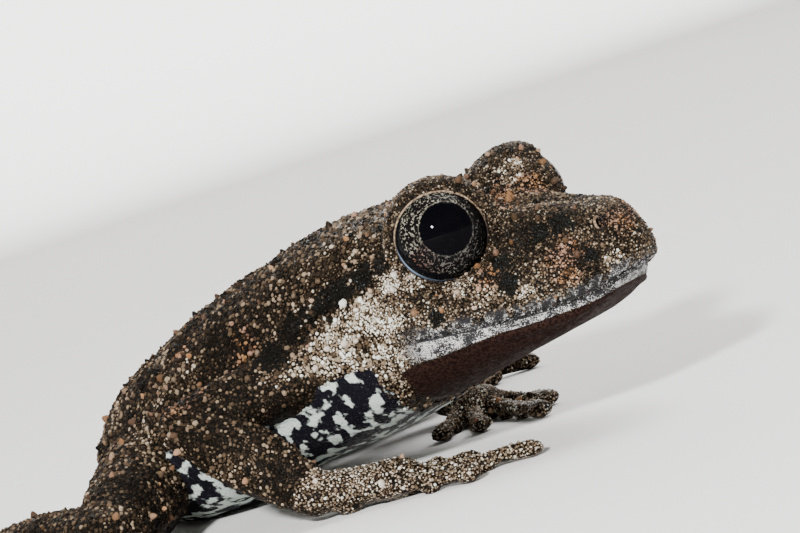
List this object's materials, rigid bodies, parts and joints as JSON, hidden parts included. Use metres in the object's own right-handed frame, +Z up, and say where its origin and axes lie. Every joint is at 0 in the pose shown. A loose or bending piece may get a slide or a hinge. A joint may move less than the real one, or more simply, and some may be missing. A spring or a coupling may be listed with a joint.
{
  "type": "warty rain frog model",
  "caption": "Small warty brown rain frog crouched with head level, big round eyes, slender digits with small discs, a still museum-style model.",
  "frame": {"origin": "on the ground, under the middle of the frog's outline", "axes": "+X the way the frog faces, +Y its left side, +Z up"},
  "size_m": [0.0426, 0.0502, 0.0153],
  "materials": {
    "skin": "granular brown skin, moist",
    "pale_skin": "pale grey-white stippled skin, moist",
    "eye": "wet gloss"
  },
  "bodies": {
    "root": {"head": "skin", "lower_jaw": "pale_skin", "torso": "skin", "eye_left": "eye", "eye_right": "eye", "upper_arm_left": "skin", "forearm_left": "skin", "hand_left": "skin", "thigh_left": "skin", "shank_left": "skin", "tarsus_left": "skin", "foot_left": "skin", "upper_arm_right": "skin", "forearm_right": "skin", "hand_right": "skin", "thigh_right": "skin", "shank_right": "skin", "tarsus_right": "skin", "foot_right": "skin"}
  },
  "joints": []
}
